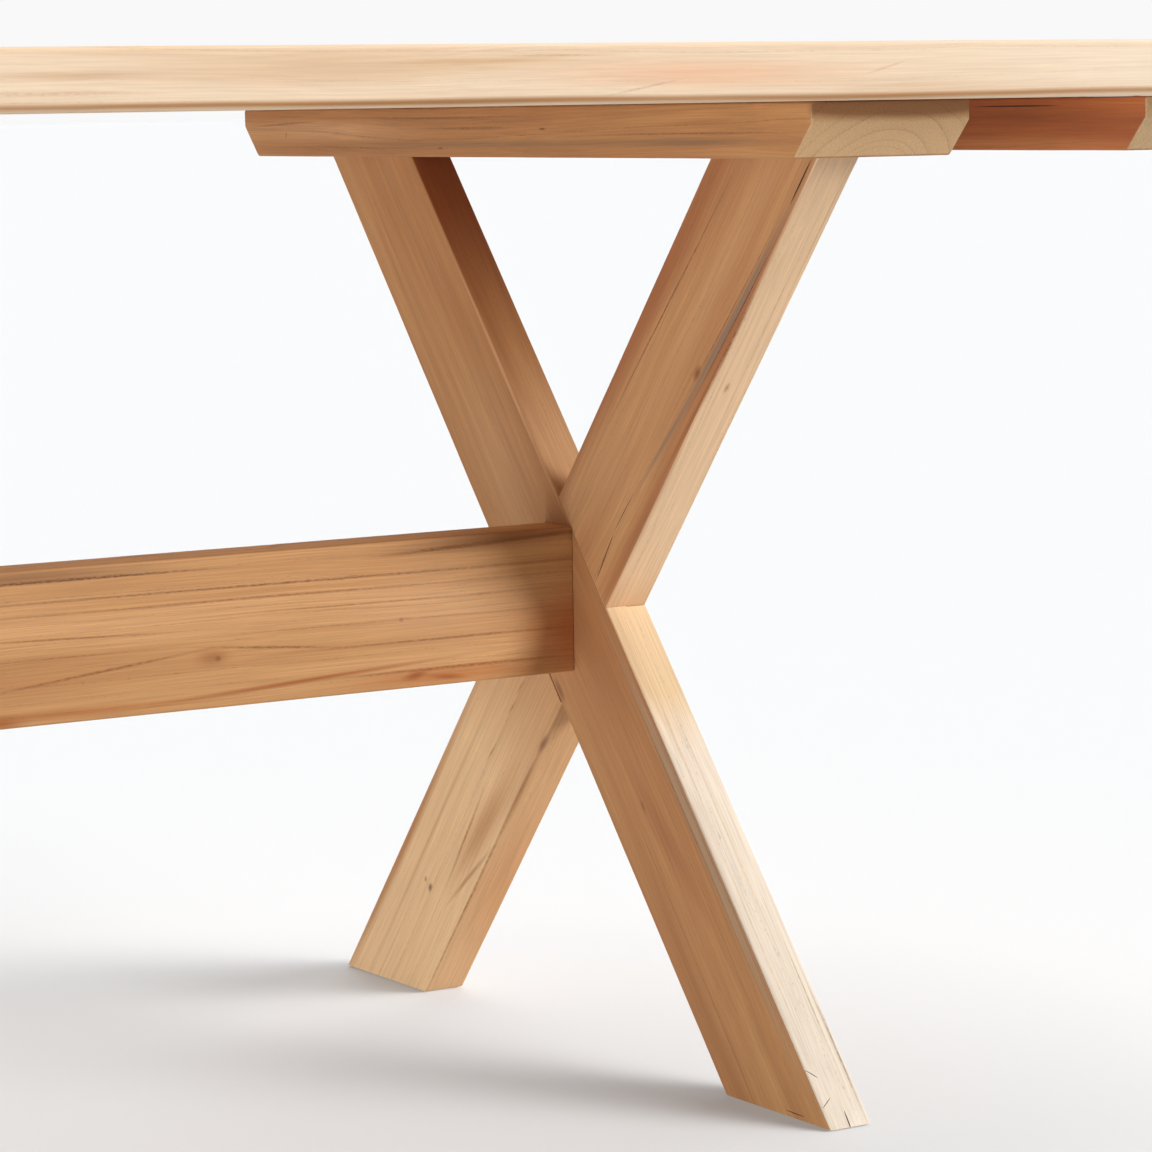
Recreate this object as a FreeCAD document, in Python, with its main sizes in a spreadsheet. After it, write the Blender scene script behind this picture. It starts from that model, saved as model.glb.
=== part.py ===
import FreeCAD
import Part
import Sketcher
import math
import os
import re

# An outdoor dining table: a plank top on battens, two X trestles and a stretcher between them.
# Millimetres. X runs along the table, Y across it and Z up. The origin is on the floor at the middle.

SIZES = {
    # The top: planks side by side, with gaps that let rain through.
    "table_length": 2400,
    "planks_each_side": 3,
    "plank_width": 155,
    "plank_gap": 6,
    "top_thickness": 38,
    "top_edge_radius": 3,
    "under_edge_radius": 5,
    "end_edge_radius": 2,
    # The battens across the planks. The two that the legs carry are the trestles' top rails.
    "side_overhang": 80,
    "end_overhang": 80,
    "batten_spacing": 153,
    "batten_width": 132,
    "batten_thickness": 38,
    "batten_bevel_length": 22,
    "batten_nose_height": 14,
    "batten_edge_radius": 2,
    # The trestles' legs. Their feet spread a little further than their tops.
    "trestle_height": 674,
    "leg_width": 100,
    "leg_thickness": 36,
    "leg_top_inset": 125,
    "foot_spread": 5,
    "leg_edge_radius": 2,
    "foot_chamfer_width": 1.5,
    "lap_clearance": 0.1,
    "tenon_thickness": 14,
    "tenon_width": 64,
    "tenon_length": 24,
    "tenon_clearance": 0.15,
    "tenon_end_gap": 2,
    # The stretcher, butted between the two crossings.
    "stretcher_raise": 2.5,
    "stretcher_height": 110,
    "stretcher_thickness": 40,
    "stretcher_edge_radius": 2,
    # Screws up through the end and middle battens.
    "screw_head_diameter": 10,
    "screw_shank_diameter": 5,
    "screw_thread_diameter": 4.4,
    "screw_bite_depth": 22,
    "screw_clearance": 0.25,
    "pilot_room_depth": 2,
    "screw_place_share": 0.68,
    "fastener_edge": 24,
    # Bolts with washers, sunk in counterbores.
    "bolt_diameter": 8,
    "bolt_clearance": 0.5,
    "bolt_head_diameter": 14,
    "bolt_head_height": 4.4,
    "bolt_head_rim_height": 1.4,
    "bolt_head_flat_diameter": 7,
    "socket_width": 5,
    "socket_depth": 2.6,
    "washer_diameter": 16,
    "washer_thickness": 1.6,
    "washer_clearance": 0.2,
    "counterbore_diameter": 18,
    "counterbore_depth": 8,
    "thread_clearance": 0.05,
    # Threaded inserts in the planks, for the rails' bolts.
    "insert_diameter": 12,
    "insert_length": 15,
    "insert_room_depth": 2,
    "insert_grip_length": 13,
    # Barrel nuts and dowels in the stretcher's ends.
    "bolt_edge": 19,
    "bolt_tail_length": 3,
    "bolt_room_depth": 5,
    "nut_diameter": 14,
    "nut_length": 28,
    "nut_depth": 55,
    "nut_clearance": 0.2,
    "dowel_diameter": 10,
    "dowel_length": 40,
    "dowel_chamfer_width": 1,
    "dowel_clearance": 0.05,
    "dowel_end_gap": 1,
    "dowel_wall_thickness": 3,
    "dowel_place_share": 0.4,
    # Pads let into the feet.
    "pad_diameter": 24,
    "pad_thickness": 6,
    "pad_proud_height": 1,
    "pad_chamfer_width": 0.4,
    "pad_clearance": 0.1,
    # How far a cut runs past the face that it opens.
    "cut_overrun": 5,
}

# Places that follow from the sizes.
PITCH = "(plank_width + plank_gap)"
BATTEN_LENGTH = f"(2 * planks_each_side * {PITCH} - plank_gap - 2 * side_overhang)"
UNDERSIDE = "(trestle_height + batten_thickness)"
END_X = "(table_length / 2 - end_overhang - batten_width / 2)"
RAIL_X = f"({END_X} - batten_width - batten_spacing)"
LEG_TOP = f"({BATTEN_LENGTH} / 2 - leg_top_inset)"
LEG_FOOT = f"({LEG_TOP} + foot_spread)"
LEG_RUN = f"({LEG_TOP} + {LEG_FOOT})"
LEG_RISE = "(trestle_height - pad_proud_height)"
LEG_SLANT = f"sqrt({LEG_RUN}^2 + {LEG_RISE}^2)"
LEG_LEAN = f"({LEG_RUN} / {LEG_RISE})"
LEG_CUT = f"(leg_width * sqrt(1 + {LEG_LEAN}^2))"
STRETCHER_END = f"({RAIL_X} - leg_thickness / 2)"
CROSSING = f"(pad_proud_height + {LEG_RISE} * {LEG_FOOT} / {LEG_RUN})"
STRETCHER_MID = f"({CROSSING} + stretcher_raise)"
BOLT_RISE = "(stretcher_height / 2 - bolt_edge)"
DOWEL_RISE = f"({BOLT_RISE} * dowel_place_share)"
DOWEL_IN_LEG = "(leg_thickness / 2 - dowel_wall_thickness)"
SCREW_LINE = "((plank_width - side_overhang - batten_bevel_length) * screw_place_share)"
ROW = "(batten_width / 2 - fastener_edge)"
BOLT_LINE = f"(plank_gap / 2 + (planks_each_side - 2) * {PITCH} + {SCREW_LINE})"
BOLT_HOLE = "(bolt_diameter + 2 * bolt_clearance)"
BOLT_TAIL = "(nut_diameter / 2 + bolt_tail_length)"

# Angles in degrees, and the unit that a sketch's lines and circles start from before their sizes are set.
FULL_TURN = 360
HALF_TURN = 180
QUARTER_TURN = 90
SIXTH_TURN = 60
UNIT = 1.0
# The least part of a face's normal along an axis that counts as facing it.
FACING_SHARE = 0.9
# How alike the lengths of a board's long edges are.
ALIKE_SHARE = 0.001

doc = FreeCAD.newDocument("OutdoorDiningTable")
sheet = doc.addObject("Spreadsheet::Sheet", "Sizes")
for line, (name, value) in enumerate(SIZES.items(), start=1):
    sheet.set(f"A{line}", name)
    sheet.set(f"B{line}", str(value))
    sheet.setAlias(f"B{line}", name)
doc.recompute()

nodes = []


def formula(text):
    """Turns each size's name in a formula into a reference to its cell."""
    return re.sub("[a-z_]+", lambda word: f"Sizes.{word[0]}" if word[0] in SIZES else word[0], text)


def bind(thing, prop, text):
    thing.setExpression(prop, formula(text))


def new_body(label, x="0", y="0", z="0", turned=False):
    """Starts one sub-part. A turned one faces the other end of the table."""
    body = doc.addObject("PartDesign::Body", label)
    body.Label = label
    if turned:
        body.Placement.Rotation = FreeCAD.Rotation(FreeCAD.Vector(0, 0, 1), HALF_TURN)
    for axis, place in zip("xyz", (x, y, z)):
        bind(body, f"Placement.Base.{axis}", place)
    nodes.append(body)
    return body


def datum(body, role):
    return next(feature for feature in body.Origin.OriginFeatures if feature.Role == role)


def new_sketch(body, name, role, x="0", y="0", lift="0"):
    """Starts a sketch on one of the body's planes, with its origin moved along that plane's axes."""
    sketch = body.newObject("Sketcher::SketchObject", name)
    sketch.AttachmentSupport = [(datum(body, role), "")]
    sketch.MapMode = "FlatFace"
    for axis, place in zip("xyz", (x, y, lift)):
        bind(sketch, f"AttachmentOffset.Base.{axis}", place)
    return sketch


def pin_point(sketch, geometry, point, x, y):
    """Sets a point's place from the sketch's origin."""
    for kind, place in (("DistanceX", x), ("DistanceY", y)):
        index = sketch.addConstraint(Sketcher.Constraint(kind, -1, 1, geometry, point, UNIT))
        bind(sketch, f"Constraints[{index}]", place)


def add_polygon(sketch, corners):
    """Draws a closed outline through corners, each a pair of formulas."""
    count = len(corners)
    turns = [2 * math.pi * corner / count for corner in range(count)]
    start = [FreeCAD.Vector(math.cos(turn), math.sin(turn), 0) * UNIT for turn in turns]
    first = sketch.GeometryCount
    for corner in range(count):
        sketch.addGeometry(Part.LineSegment(start[corner], start[(corner + 1) % count]), False)
    for corner in range(count):
        following = first + (corner + 1) % count
        sketch.addConstraint(Sketcher.Constraint("Coincident", first + corner, 2, following, 1))
    for corner, (x, y) in enumerate(corners):
        pin_point(sketch, first + corner, 1, x, y)


def add_rectangle(sketch, x_low, x_high, y_low, y_high):
    add_polygon(sketch, [(x_low, y_low), (x_high, y_low), (x_high, y_high), (x_low, y_high)])


def add_circle(sketch, diameter, x="0", y="0"):
    circle = sketch.addGeometry(Part.Circle(FreeCAD.Vector(), FreeCAD.Vector(0, 0, 1), UNIT), False)
    index = sketch.addConstraint(Sketcher.Constraint("Diameter", circle, UNIT))
    bind(sketch, f"Constraints[{index}]", diameter)
    pin_point(sketch, circle, 3, x, y)


def pad(body, name, sketch, length, symmetric=False):
    feature = body.newObject("PartDesign::Pad", name)
    feature.Profile = sketch
    feature.SideType = "Symmetric" if symmetric else "One side"
    bind(feature, "Length", length)
    doc.recompute()
    return feature


def cut(body, name, sketch, depth, symmetric=False, along_normal=False):
    """Cuts a sketch into its body, against the sketch's normal or along it, and makes sure that it cut."""
    before = body.Shape.Volume
    feature = body.newObject("PartDesign::Pocket", name)
    feature.Profile = sketch
    feature.SideType = "Symmetric" if symmetric else "One side"
    feature.Reversed = along_normal
    bind(feature, "Length", depth)
    doc.recompute()
    if body.Shape.Volume >= before:
        raise RuntimeError(f"{body.Label}: {name} cuts nothing")
    return feature


def turn(body, name, sketch, axis):
    """Turns a half profile about its sketch's upright or level axis."""
    feature = body.newObject("PartDesign::Revolution", name)
    feature.Profile = sketch
    feature.ReferenceAxis = (sketch, [axis])
    feature.Angle = FULL_TURN
    doc.recompute()
    return feature


def round_off(body, name, radius, picks):
    """Rounds the named edges of the body so far, or the edges of the named faces."""
    base = body.Tip
    feature = body.newObject("PartDesign::Fillet", name)
    feature.Base = (base, picks)
    bind(feature, "Radius", radius)
    doc.recompute()
    if not body.Shape.isValid():
        raise RuntimeError(f"{body.Label}: {name} spoils the shape")


def all_edges(body):
    return [f"Edge{index}" for index in range(1, len(body.Shape.Edges) + 1)]


def long_edges(body, test=lambda middle: True):
    """Names the longest edges of the body so far, those along its grain, whose middles pass a test."""
    longest = max(edge.Length for edge in body.Shape.Edges)
    return [
        f"Edge{index}"
        for index, edge in enumerate(body.Shape.Edges, start=1)
        if math.isclose(edge.Length, longest, rel_tol=ALIKE_SHARE) and test(edge.CenterOfMass)
    ]


def faces_where(body, test):
    """Names the faces of the body so far whose outward normal passes a test."""
    return [
        f"Face{index}"
        for index, face in enumerate(body.Shape.Faces, start=1)
        if test(face.normalAt(0, 0))
    ]


def line_pattern(body, name, axis, length, count):
    """One step of a pattern: copies spread evenly over a length."""
    step = body.newObject("PartDesign::LinearPattern", name)
    step.Direction = (datum(body, axis), [""])
    bind(step, "Length", length)
    bind(step, "Occurrences", count)
    return step


def mirror(body, name, plane):
    step = body.newObject("PartDesign::Mirrored", name)
    step.MirrorPlane = (datum(body, plane), [""])
    return step


def repeat(body, name, features, steps):
    """Copies features through several pattern steps, one after the other."""
    pattern = body.newObject("PartDesign::MultiTransform", name)
    pattern.Originals = features
    pattern.Transformations = steps
    body.Tip = pattern
    doc.recompute()


def both_ways(text):
    return f"-{text}", text


def make_plank(label, side, place):
    """One plank of the top, counted outwards from the middle gap, with its pilot and insert holes."""
    centre = f"{side} * (plank_gap / 2 + plank_width / 2 + {place} * {PITCH})"
    body = new_body(label, y=centre, z=UNDERSIDE)
    section = new_sketch(body, "Section", "YZ_Plane")
    add_rectangle(section, *both_ways("plank_width / 2"), "0", "top_thickness")
    pad(body, "Board", section, "table_length", symmetric=True)
    half = body.Shape.BoundBox.Center.z
    round_off(body, "TopArris", "top_edge_radius", long_edges(body, lambda middle: middle.z > half))
    round_off(body, "UnderArris", "under_edge_radius", long_edges(body, lambda middle: middle.z < half))
    ends = faces_where(body, lambda normal: abs(normal.x) > FACING_SHARE)
    round_off(body, "EndArris", "end_edge_radius", ends)
    line = f"{-side} * (plank_width / 2 - {SCREW_LINE})"
    pilots = new_sketch(body, "PilotPoints", "XY_Plane")
    for batten in (f"-{END_X}", "0", END_X):
        for row in both_ways(ROW):
            add_circle(pilots, "screw_thread_diameter + 2 * thread_clearance", f"{batten} + {row}", line)
    cut(body, "Pilots", pilots, "screw_bite_depth + pilot_room_depth", along_normal=True)
    if place == int(SIZES["planks_each_side"]) - 2:
        seats = new_sketch(body, "InsertPoints", "XY_Plane")
        for rail in both_ways(RAIL_X):
            for row in both_ways(ROW):
                add_circle(seats, "insert_diameter + 2 * thread_clearance", f"{rail} + {row}", line)
        cut(body, "InsertSeats", seats, "insert_length + insert_room_depth", along_normal=True)


def start_batten(label, x):
    """A batten's board: level on top, with noses at its ends that are bevelled underneath."""
    body = new_body(label, x=x, z="trestle_height")
    half = f"{BATTEN_LENGTH} / 2"
    side = new_sketch(body, "SideView", "YZ_Plane")
    add_polygon(side, [
        (f"batten_bevel_length - {half}", "0"),
        (f"{half} - batten_bevel_length", "0"),
        (half, "batten_thickness - batten_nose_height"),
        (half, "batten_thickness"),
        (f"-{half}", "batten_thickness"),
        (f"-{half}", "batten_thickness - batten_nose_height"),
    ])
    pad(body, "Board", side, "batten_width", symmetric=True)
    round_off(body, "Arris", "batten_edge_radius", all_edges(body))
    return body


def make_batten(label, x):
    """An end or middle batten, with two countersunk screw holes under each plank."""
    body = start_batten(label, x)
    points = new_sketch(body, "ScrewPoints", "XY_Plane")
    for place in range(int(SIZES["planks_each_side"])):
        for line in both_ways(f"(plank_gap / 2 + {place} * {PITCH} + {SCREW_LINE})"):
            for row in both_ways(ROW):
                add_circle(points, "screw_shank_diameter + 2 * screw_clearance", row, line)
    doc.recompute()
    before = body.Shape.Volume
    hole = body.newObject("PartDesign::Hole", "ScrewHoles")
    hole.Profile = points
    doc.recompute()
    hole.ThreadType = "None"
    hole.DepthType = "ThroughAll"
    hole.Reversed = True
    hole.HoleCutType = "Countersink"
    hole.HoleCutCountersinkAngle = QUARTER_TURN
    bind(hole, "Diameter", "screw_shank_diameter + 2 * screw_clearance")
    bind(hole, "HoleCutDiameter", "screw_head_diameter + 2 * screw_clearance")
    doc.recompute()
    if body.Shape.Volume >= before:
        raise RuntimeError(f"{label}: the screw holes cut nothing")


def make_rail(label, x):
    """A trestle's top rail, with mortises for the legs' tenons and counterbored bolt holes."""
    body = start_batten(label, x)
    mortises = new_sketch(body, "MortiseMouths", "XY_Plane")
    for leg in both_ways(LEG_TOP):
        add_rectangle(
            mortises,
            *both_ways("(tenon_thickness / 2 + tenon_clearance)"),
            f"{leg} - tenon_width / 2 - tenon_clearance",
            f"{leg} + tenon_width / 2 + tenon_clearance",
        )
    cut(body, "Mortises", mortises, "tenon_length + tenon_end_gap", along_normal=True)
    for name, diameter, depth in (
        ("BoltHoles", BOLT_HOLE, "batten_thickness + cut_overrun"),
        ("Counterbores", "counterbore_diameter", "counterbore_depth"),
    ):
        points = new_sketch(body, f"{name}Points", "XY_Plane")
        for line in both_ways(BOLT_LINE):
            for row in both_ways(ROW):
                add_circle(points, diameter, row, line)
        cut(body, name, points, depth, along_normal=True)


def ease_foot(body, foot, way):
    """Takes the corners off the edges of a leg's sole, first along its two sides, then at its two ends."""
    wide = "foot_chamfer_width"
    sides = new_sketch(body, "SideWedges", "XZ_Plane", y="pad_proud_height", lift=f"-({foot})")
    ends = new_sketch(body, "EndWedges", "YZ_Plane", x=foot, y="pad_proud_height")
    for hand in (-1, 1):
        side = f"{hand} * leg_thickness / 2"
        add_polygon(sides, [
            (f"{side} - 2 * {hand} * {wide}", f"-{wide}"),
            (f"{side} + {hand} * {wide}", f"2 * {wide}"),
            (f"{side} + {hand} * {wide}", f"-{wide}"),
        ])
        end = f"{hand} * {LEG_CUT} / 2"
        along = f"{way} * {wide} * {LEG_RUN} / {LEG_SLANT}"
        up = f"{wide} * {LEG_RISE} / {LEG_SLANT}"
        add_polygon(ends, [
            (f"{end} - {hand} * {wide}", "0"),
            (f"{end} + {along}", up),
            (f"{end} + ({hand} * {wide} - {along}) / 2", f"-{up} / 2"),
        ])
    cut(body, "SideEdges", sides, f"2 * {LEG_CUT}", symmetric=True)
    cut(body, "EndEdges", ends, "leg_thickness + 2 * cut_overrun", symmetric=True)


def make_leg(label, end, way):
    """A trestle's leg, halved into the other leg where they cross. Way 1 keeps the inner half there."""
    body = new_body(label, x=f"{end} * {RAIL_X}", turned=end < 0)
    foot = f"{-way} * {LEG_FOOT}"
    top = f"{way} * {LEG_TOP}"
    section = new_sketch(
        body, "Section", "XY_Plane", y=f"({foot} + {top}) / 2", lift=f"pad_proud_height + {LEG_RISE} / 2"
    )
    add_rectangle(section, *both_ways("leg_thickness / 2"), *both_ways("leg_width / 2"))
    section.AttachmentOffset = FreeCAD.Placement(
        FreeCAD.Vector(), FreeCAD.Rotation(FreeCAD.Vector(-way, 0, 0), QUARTER_TURN)
    )
    bind(section, "AttachmentOffset.Rotation.Angle", f"atan({LEG_LEAN})")
    pad(body, "Bar", section, f"{LEG_SLANT} + {LEG_LEAN} * leg_width + 2 * cut_overrun", symmetric=True)
    round_off(body, "Arris", "leg_edge_radius", long_edges(body))
    for name, place, height, upward in (
        ("LevelTop", top, "trestle_height", True),
        ("LevelFoot", foot, "pad_proud_height", False),
    ):
        waste = new_sketch(body, f"{name}Waste", "XY_Plane", y=place, lift=height)
        add_rectangle(waste, *both_ways("(leg_thickness / 2 + cut_overrun)"), *both_ways(f"2 * {LEG_CUT}"))
        cut(body, name, waste, f"2 * {LEG_CUT}", along_normal=upward)
    ease_foot(body, foot, way)

    tenon = new_sketch(body, "TenonRoot", "XY_Plane", y=top, lift="trestle_height")
    add_rectangle(tenon, *both_ways("tenon_thickness / 2"), *both_ways("tenon_width / 2"))
    pad(body, "Tenon", tenon, "tenon_length")

    lap = new_sketch(body, "LapBand", "YZ_Plane")
    half = f"({LEG_CUT} / 2 + lap_clearance * {LEG_CUT} / leg_width)"
    add_polygon(lap, [
        (f"-({foot}) - {half}", "pad_proud_height"),
        (f"-({foot}) + {half}", "pad_proud_height"),
        (f"-({top}) + {half}", "trestle_height"),
        (f"-({top}) - {half}", "trestle_height"),
    ])
    cut(body, "Lap", lap, "leg_thickness / 2 + cut_overrun", along_normal=way > 0)

    seat = new_sketch(body, "PadSeatMouth", "XY_Plane", y=foot, lift="pad_proud_height")
    add_circle(seat, "pad_diameter + 2 * pad_clearance")
    cut(body, "PadSeat", seat, "pad_thickness - pad_proud_height", along_normal=True)

    bolts = new_sketch(body, "BoltPoints", "YZ_Plane", y=STRETCHER_MID)
    for rise in both_ways(BOLT_RISE):
        add_circle(bolts, BOLT_HOLE, "0", rise)
    cut(body, "BoltHoles", bolts, "leg_thickness + 2 * cut_overrun", symmetric=True)
    if way > 0:
        dowels = new_sketch(body, "DowelPoints", "YZ_Plane", y=STRETCHER_MID, lift="-leg_thickness / 2")
        for rise in both_ways(DOWEL_RISE):
            add_circle(dowels, "dowel_diameter + 2 * dowel_clearance", "0", rise)
        cut(body, "DowelHoles", dowels, DOWEL_IN_LEG, along_normal=True)
    else:
        sinks = new_sketch(body, "SinkPoints", "YZ_Plane", y=STRETCHER_MID, lift="leg_thickness / 2")
        for rise in both_ways(BOLT_RISE):
            add_circle(sinks, "counterbore_diameter", "0", rise)
        cut(body, "Counterbores", sinks, "counterbore_depth")


def make_stretcher():
    """The board between the crossings, bored at each end for bolts and dowels, and from the back for nuts."""
    body = new_body("stretcher", z=STRETCHER_MID)
    section = new_sketch(body, "Section", "YZ_Plane")
    add_rectangle(section, *both_ways("stretcher_thickness / 2"), *both_ways("stretcher_height / 2"))
    pad(body, "Board", section, f"2 * {STRETCHER_END}", symmetric=True)
    round_off(body, "Arris", "stretcher_edge_radius", long_edges(body))

    bolts = new_sketch(body, "BoltPoints", "YZ_Plane", lift=STRETCHER_END)
    dowels = new_sketch(body, "DowelPoints", "YZ_Plane", lift=STRETCHER_END)
    nuts = new_sketch(
        body, "NutPoints", "XZ_Plane", x=f"{STRETCHER_END} - nut_depth", lift="-stretcher_thickness / 2"
    )
    for rise in both_ways(BOLT_RISE):
        add_circle(bolts, BOLT_HOLE, "0", rise)
        add_circle(nuts, "nut_diameter + 2 * nut_clearance", "0", rise)
    for rise in both_ways(DOWEL_RISE):
        add_circle(dowels, "dowel_diameter + 2 * dowel_clearance", "0", rise)
    nut_reach = "(stretcher_thickness + nut_length) / 2 + nut_clearance"
    holes = [
        cut(body, "BoltHoles", bolts, f"nut_depth + {BOLT_TAIL} + bolt_room_depth"),
        cut(body, "DowelHoles", dowels, f"dowel_length - {DOWEL_IN_LEG} + 2 * dowel_end_gap"),
        cut(body, "NutHoles", nuts, nut_reach, along_normal=True),
    ]
    repeat(body, "BothEnds", holes, [mirror(body, "OtherEnd", "YZ_Plane")])


def four_ways(body):
    """Pattern steps for what stands at both ends of the table and on both sides of it."""
    return [mirror(body, "OtherEnd", "YZ_Plane"), mirror(body, "OtherSide", "XZ_Plane")]


def two_high(body):
    """Pattern steps for what lies twice, one above the other, at each end of the stretcher."""
    return [
        line_pattern(body, "OneAbove", "Z_Axis", f"2 * {BOLT_RISE}", "2"),
        mirror(body, "OtherEnd", "YZ_Plane"),
    ]


def two_rows(body):
    return line_pattern(body, "BothRows", "X_Axis", f"2 * {ROW}", "2")


def make_plank_screws():
    """Countersunk screws, two up through each end or middle batten into each plank."""
    body = new_body("plank_screws")
    profile = new_sketch(
        body,
        "Profile",
        "XZ_Plane",
        x=f"-{END_X} - {ROW}",
        y="trestle_height",
        lift=f"-plank_gap / 2 - {SCREW_LINE}",
    )
    add_polygon(profile, [
        ("0", "0"),
        ("screw_head_diameter / 2", "0"),
        ("screw_shank_diameter / 2", "(screw_head_diameter - screw_shank_diameter) / 2"),
        ("screw_shank_diameter / 2", "batten_thickness"),
        ("screw_thread_diameter / 2", "batten_thickness"),
        ("screw_thread_diameter / 2", "batten_thickness + screw_bite_depth - screw_thread_diameter / 2"),
        ("0", "batten_thickness + screw_bite_depth"),
    ])
    screw = turn(body, "Screw", profile, "V_Axis")
    repeat(body, "AllScrews", [screw], [
        line_pattern(body, "EachPlank", "Y_Axis", f"(planks_each_side - 1) * {PITCH}", "planks_each_side"),
        mirror(body, "OtherSide", "XZ_Plane"),
        two_rows(body),
        line_pattern(body, "EachBatten", "X_Axis", f"2 * {END_X}", "3"),
    ])


def bolt_profile(length):
    """Half of a button-head bolt, as height along its axis from the head's seat and distance from it."""
    return [
        ("-bolt_head_height", "0"),
        ("-bolt_head_height", "bolt_head_flat_diameter / 2"),
        ("-bolt_head_rim_height", "bolt_head_diameter / 2"),
        ("0", "bolt_head_diameter / 2"),
        ("0", "bolt_diameter / 2"),
        (length, "bolt_diameter / 2"),
        (length, "0"),
    ]


def hexagon():
    """The corners of a bolt's socket, about its axis."""
    corner = "socket_width / sqrt(3)"
    turns = range(0, FULL_TURN, SIXTH_TURN)
    return [(f"{corner} * cos({turn})", f"{corner} * sin({turn})") for turn in turns]


def make_rail_bolts():
    """Bolts up through the trestles' rails, with their washers and the inserts in the planks."""
    seat = "(trestle_height + counterbore_depth - washer_thickness)"
    length = "batten_thickness - counterbore_depth + washer_thickness + insert_grip_length"
    x = f"({RAIL_X} - {ROW})"
    bolts = new_body("rail_bolts")
    profile = new_sketch(bolts, "Profile", "XZ_Plane", x=x, y=seat, lift=f"-{BOLT_LINE}")
    add_polygon(profile, [(distance, height) for height, distance in bolt_profile(length)])
    bolt = turn(bolts, "Bolt", profile, "V_Axis")
    low = f"{seat} - bolt_head_height"
    mouth = new_sketch(bolts, "SocketMouth", "XY_Plane", x=x, y=BOLT_LINE, lift=low)
    add_polygon(mouth, hexagon())
    socket = cut(bolts, "Socket", mouth, "socket_depth", along_normal=True)
    repeat(bolts, "AllBolts", [bolt, socket], [two_rows(bolts), *four_ways(bolts)])
    for label, outer, clearance, low, height in (
        ("rail_washers", "washer_diameter", "washer_clearance", seat, "washer_thickness"),
        ("threaded_inserts", "insert_diameter", "thread_clearance", UNDERSIDE, "insert_length"),
    ):
        body = new_body(label)
        ring = new_sketch(body, "Ring", "XY_Plane", x=x, y=BOLT_LINE, lift=low)
        add_circle(ring, outer)
        add_circle(ring, f"bolt_diameter + 2 * {clearance}")
        solid = pad(body, "Solid", ring, height)
        repeat(body, "All", [solid], [two_rows(body), *four_ways(body)])


def make_stretcher_bolts():
    """Bolts in through the crossings to the stretcher's barrel nuts, with washers and dowels."""
    low = f"({STRETCHER_MID} - {BOLT_RISE})"
    floor = f"({RAIL_X} + leg_thickness / 2 - counterbore_depth)"
    length = f"leg_thickness - counterbore_depth + washer_thickness + nut_depth + {BOLT_TAIL}"
    bolts = new_body("stretcher_bolts")
    profile = new_sketch(bolts, "Profile", "XZ_Plane", x=f"{floor} + washer_thickness", y=low)
    add_polygon(profile, [(f"-({height})", distance) for height, distance in bolt_profile(length)])
    bolt = turn(bolts, "Bolt", profile, "H_Axis")
    mouth = new_sketch(
        bolts, "SocketMouth", "YZ_Plane", y=low, lift=f"{floor} + washer_thickness + bolt_head_height"
    )
    add_polygon(mouth, hexagon())
    socket = cut(bolts, "Socket", mouth, "socket_depth")
    repeat(bolts, "AllBolts", [bolt, socket], two_high(bolts))

    washers = new_body("stretcher_washers")
    ring = new_sketch(washers, "Ring", "YZ_Plane", y=low, lift=floor)
    add_circle(ring, "washer_diameter")
    add_circle(ring, "bolt_diameter + 2 * washer_clearance")
    washer = pad(washers, "Washer", ring, "washer_thickness")
    repeat(washers, "AllWashers", [washer], two_high(washers))

    nuts = new_body("barrel_nuts")
    disc = new_sketch(nuts, "Disc", "XZ_Plane", x=f"{STRETCHER_END} - nut_depth", y=low)
    add_circle(disc, "nut_diameter")
    barrel = pad(nuts, "Barrel", disc, "nut_length", symmetric=True)
    bore = new_sketch(nuts, "BoreMouth", "YZ_Plane", y=low, lift=f"{STRETCHER_END} - nut_depth")
    add_circle(bore, "bolt_diameter + 2 * thread_clearance")
    thread = cut(nuts, "Bore", bore, "nut_diameter + 2 * cut_overrun", symmetric=True)
    repeat(nuts, "AllNuts", [barrel, thread], two_high(nuts))


def make_dowels():
    """Dowels between the stretcher's ends and the crossings."""
    body = new_body("dowels")
    start = f"{STRETCHER_END} + {DOWEL_IN_LEG} - dowel_end_gap"
    profile = new_sketch(body, "Profile", "XZ_Plane", x=start, y=f"{STRETCHER_MID} - {DOWEL_RISE}")
    add_polygon(profile, [
        ("0", "0"),
        ("0", "dowel_diameter / 2 - dowel_chamfer_width"),
        ("-dowel_chamfer_width", "dowel_diameter / 2"),
        ("dowel_chamfer_width - dowel_length", "dowel_diameter / 2"),
        ("-dowel_length", "dowel_diameter / 2 - dowel_chamfer_width"),
        ("-dowel_length", "0"),
    ])
    dowel = turn(body, "Dowel", profile, "H_Axis")
    repeat(body, "AllDowels", [dowel], [
        line_pattern(body, "OneAbove", "Z_Axis", f"2 * {DOWEL_RISE}", "2"),
        mirror(body, "OtherEnd", "YZ_Plane"),
    ])


def make_foot_pads():
    """Round pads, let into the feet and standing a little proud of them."""
    body = new_body("foot_pads")
    profile = new_sketch(body, "Profile", "XZ_Plane", x=RAIL_X, lift=LEG_FOOT)
    add_polygon(profile, [
        ("0", "0"),
        ("pad_diameter / 2 - pad_chamfer_width", "0"),
        ("pad_diameter / 2", "pad_chamfer_width"),
        ("pad_diameter / 2", "pad_thickness"),
        ("0", "pad_thickness"),
    ])
    disc = turn(body, "Pad", profile, "V_Axis")
    repeat(body, "AllPads", [disc], four_ways(body))


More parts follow.
